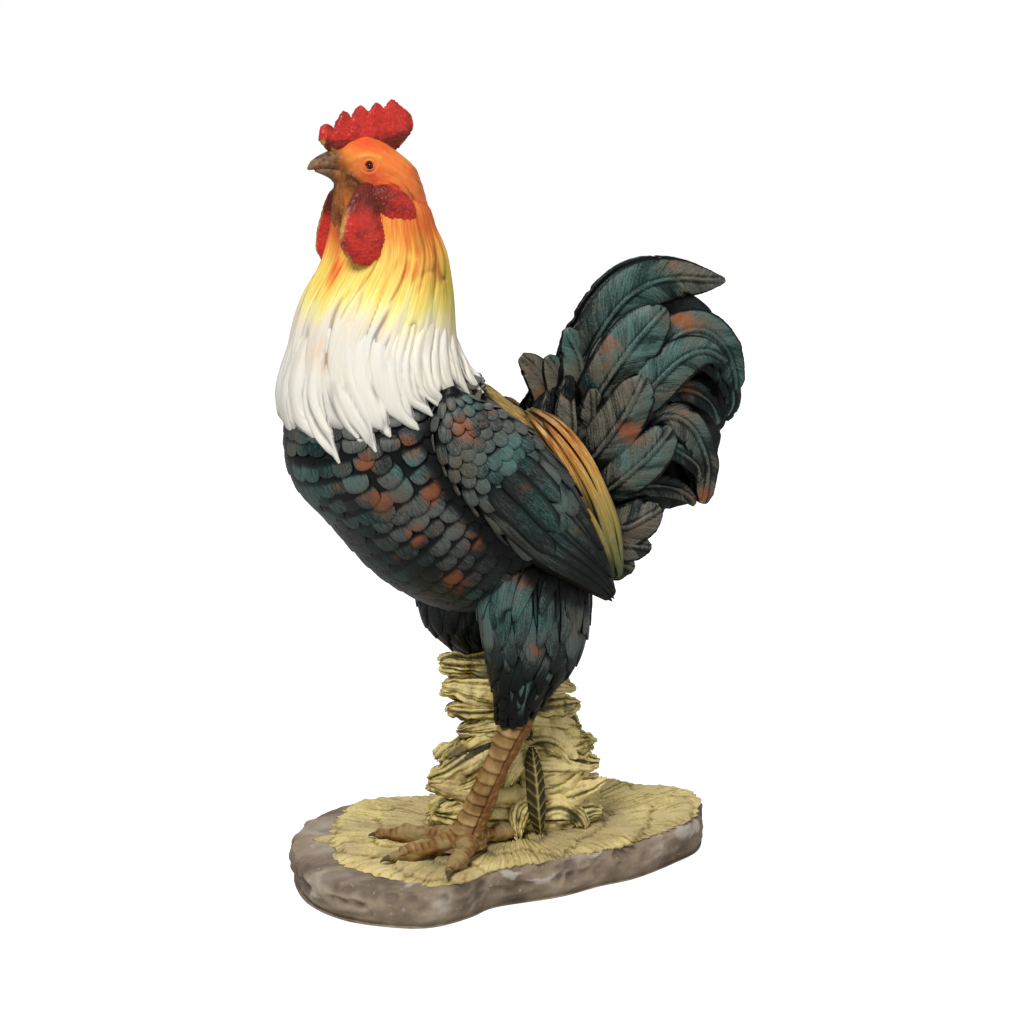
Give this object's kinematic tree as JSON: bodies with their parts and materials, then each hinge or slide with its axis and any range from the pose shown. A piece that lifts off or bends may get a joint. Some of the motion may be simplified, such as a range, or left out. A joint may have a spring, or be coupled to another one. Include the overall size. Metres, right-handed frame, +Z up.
{
  "type": "garden rooster statue",
  "caption": "Painted cast concrete rooster that stands over a straw sheaf on a flat rock slab, as a free-standing garden ornament.",
  "frame": {"origin": "on the slab's flat underside, below the bird's legs", "axes": "+Z up; -X the way the bird faces; -Y the bird's left side"},
  "size_m": [0.3467, 0.212, 0.5643],
  "materials": {
    "rock": "matt painted concrete",
    "straw": "matt painted concrete",
    "leaf": "matt painted concrete",
    "steel": "plain rod",
    "shank": "matt painted concrete",
    "dark_plumage": "satin painted concrete",
    "saddle_gold": "satin painted concrete",
    "hackle": "satin painted concrete",
    "face": "satin painted concrete",
    "comb_red": "satin painted concrete",
    "eye_black": "glossy painted bead"
  },
  "bodies": {
    "root": {"base_slab": "rock", "straw_bed": "straw", "sheaf_lower": "straw", "sheaf_middle": "straw", "sheaf_upper": "straw", "sheaf_leaf": "leaf", "left_leg_rod": "steel", "right_leg_rod": "steel", "neck_rod": "steel", "tail_rod": "steel", "left_foot": "shank", "right_foot": "shank", "torso": "dark_plumage", "left_thigh": "dark_plumage", "right_thigh": "dark_plumage", "left_wing": "dark_plumage", "right_wing": "dark_plumage", "tail_root": "dark_plumage", "tail_main_feathers": "dark_plumage", "tail_front_feather_1": "dark_plumage", "tail_front_feather_2": "dark_plumage", "tail_front_feather_3": "dark_plumage", "tail_left_top_sickle": "dark_plumage", "tail_left_second_sickle": "dark_plumage", "tail_left_arch_sickle": "dark_plumage", "tail_left_inner_sickle": "dark_plumage", "tail_left_lower_sickle": "dark_plumage", "tail_left_quill_covert": "dark_plumage", "tail_left_side_covert": "dark_plumage", "tail_left_low_covert": "dark_plumage", "tail_left_vent_covert": "dark_plumage", "tail_right_top_sickle": "dark_plumage", "tail_right_second_sickle": "dark_plumage", "tail_right_arch_sickle": "dark_plumage", "tail_right_inner_sickle": "dark_plumage", "tail_right_lower_sickle": "dark_plumage", "tail_right_quill_covert": "dark_plumage", "tail_right_side_covert": "dark_plumage", "tail_right_low_covert": "dark_plumage", "tail_right_vent_covert": "dark_plumage", "left_saddle_feathers": "saddle_gold", "right_saddle_feathers": "saddle_gold", "neck_hackle": "hackle", "head": "face", "comb": "comb_red", "left_wattle": "comb_red", "right_wattle": "comb_red", "left_earlobe": "comb_red", "right_earlobe": "comb_red", "left_eye": "eye_black", "right_eye": "eye_black"}
  },
  "joints": []
}
